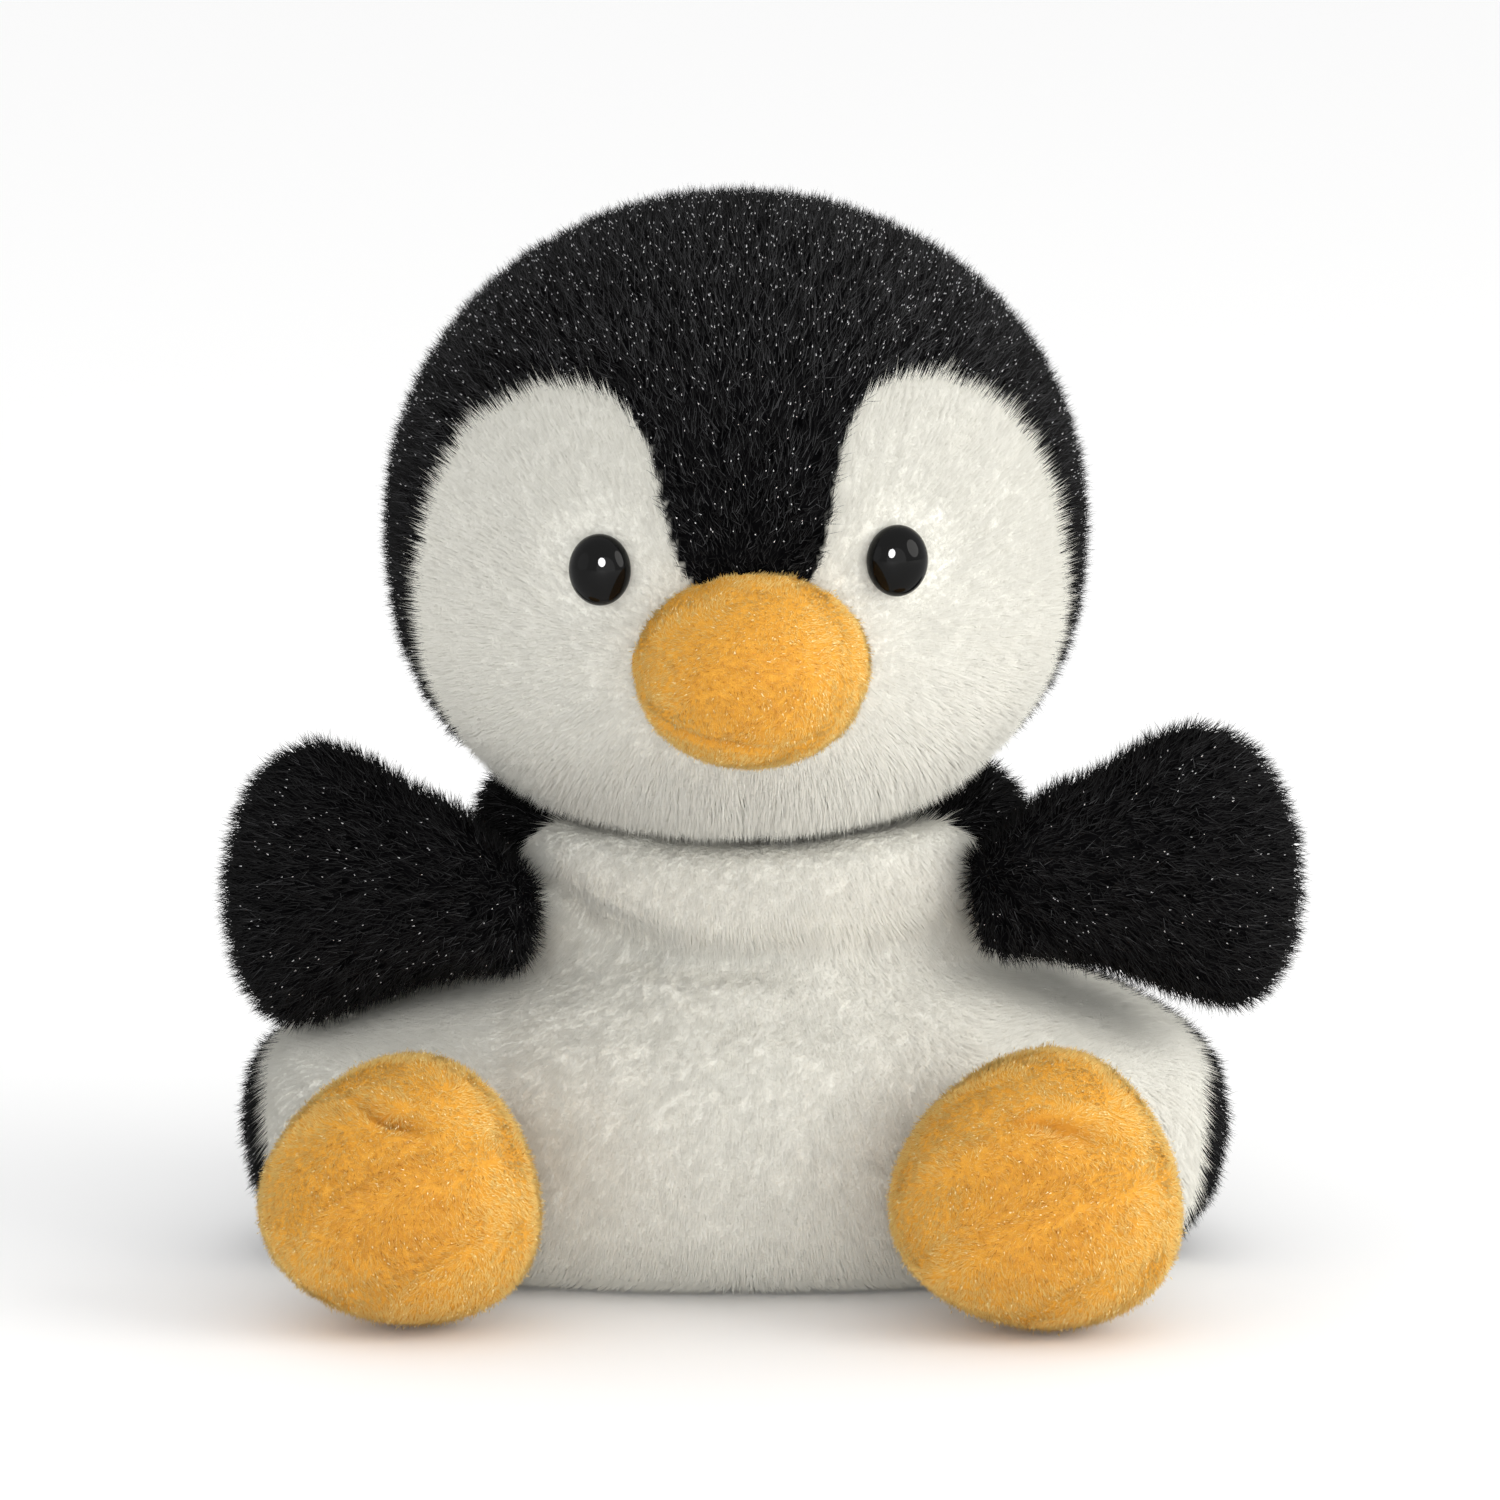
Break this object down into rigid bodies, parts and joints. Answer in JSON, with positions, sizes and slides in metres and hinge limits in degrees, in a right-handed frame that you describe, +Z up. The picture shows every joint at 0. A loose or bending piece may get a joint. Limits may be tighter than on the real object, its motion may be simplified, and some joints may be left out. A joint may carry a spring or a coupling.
{
  "type": "plush penguin",
  "caption": "Palm-size seated plush penguin with a big round head, white face and belly, black flippers, orange beak and round orange feet, sewn from panels over fibre and pellets.",
  "frame": {"origin": "on the flat seat under the body, below the middle of the neck", "axes": "+Z up out of the crown, -Y out of the face, +X to the viewer's right as the face is seen"},
  "size_m": [0.123, 0.0936, 0.1237],
  "materials": {
    "plush_black": "long soft black pile with fine glinting fibres",
    "plush_white": "long soft white pile",
    "plush_orange": "short velvety orange pile",
    "eye_gloss": "polished black",
    "washer_plastic": "moulded",
    "fibre_filling": "loose polyester fibre",
    "pellet_bag_cloth": "thin woven liner",
    "pellets": "small moulded beads"
  },
  "bodies": {
    "torso": {"belly_panel": "plush_white", "back_panel_left": "plush_black", "back_panel_right": "plush_black", "base_panel": "plush_white", "body_stuffing": "fibre_filling", "pellet_bag": "pellet_bag_cloth", "pellet_fill": "pellets"},
    "neck": {"neck_pad": "plush_white"},
    "head": {"head_crown_gusset": "plush_black", "head_side_left": "plush_black", "head_side_right": "plush_black", "face_left": "plush_white", "face_right": "plush_white", "head_stuffing": "fibre_filling", "beak_upper": "plush_orange", "beak_lower": "plush_orange", "beak_stuffing": "fibre_filling", "eye_left": "eye_gloss", "eye_right": "eye_gloss", "eye_washer_left": "washer_plastic", "eye_washer_right": "washer_plastic"},
    "wing_left": {"wing_left_front": "plush_black", "wing_left_back": "plush_black", "wing_left_stuffing": "fibre_filling"},
    "wing_right": {"wing_right_front": "plush_black", "wing_right_back": "plush_black", "wing_right_stuffing": "fibre_filling"},
    "foot_left": {"foot_left_sole": "plush_orange", "foot_left_heel": "plush_orange", "foot_left_stuffing": "fibre_filling"},
    "foot_right": {"foot_right_sole": "plush_orange", "foot_right_heel": "plush_orange", "foot_right_stuffing": "fibre_filling"}
  },
  "joints": [
    {"name": "neck_turn", "type": "hinge", "parent": "torso", "child": "neck", "pos_m": [0.0003, 0, 0.052], "axis": [0, 0, 1], "range_deg": [-20, 20], "stiffness_Nm_per_rad": 0.05},
    {"name": "head_nod", "type": "hinge", "parent": "neck", "child": "head", "pos_m": [0.0003, 0, 0.052], "axis": [1, 0, 0], "range_deg": [-7, 7], "stiffness_Nm_per_rad": 0.12},
    {"name": "wing_left_swing", "type": "hinge", "parent": "torso", "child": "wing_left", "pos_m": [-0.0236, -0.0164, 0.0446], "axis": [0, 0, 1], "range_deg": [-10, 25], "stiffness_Nm_per_rad": 0.02},
    {"name": "wing_right_swing", "type": "hinge", "parent": "torso", "child": "wing_right", "pos_m": [0.0266, -0.0154, 0.0463], "axis": [0, 0, 1], "range_deg": [-25, 10], "stiffness_Nm_per_rad": 0.02},
    {"name": "foot_left_tilt", "type": "hinge", "parent": "torso", "child": "foot_left", "pos_m": [-0.0367, -0.0239, 0.0148], "axis": [1, 0, 0], "range_deg": [-12, 12], "stiffness_Nm_per_rad": 0.05},
    {"name": "foot_right_tilt", "type": "hinge", "parent": "torso", "child": "foot_right", "pos_m": [0.0316, -0.0254, 0.0152], "axis": [1, 0, 0], "range_deg": [-12, 12], "stiffness_Nm_per_rad": 0.05}
  ]
}
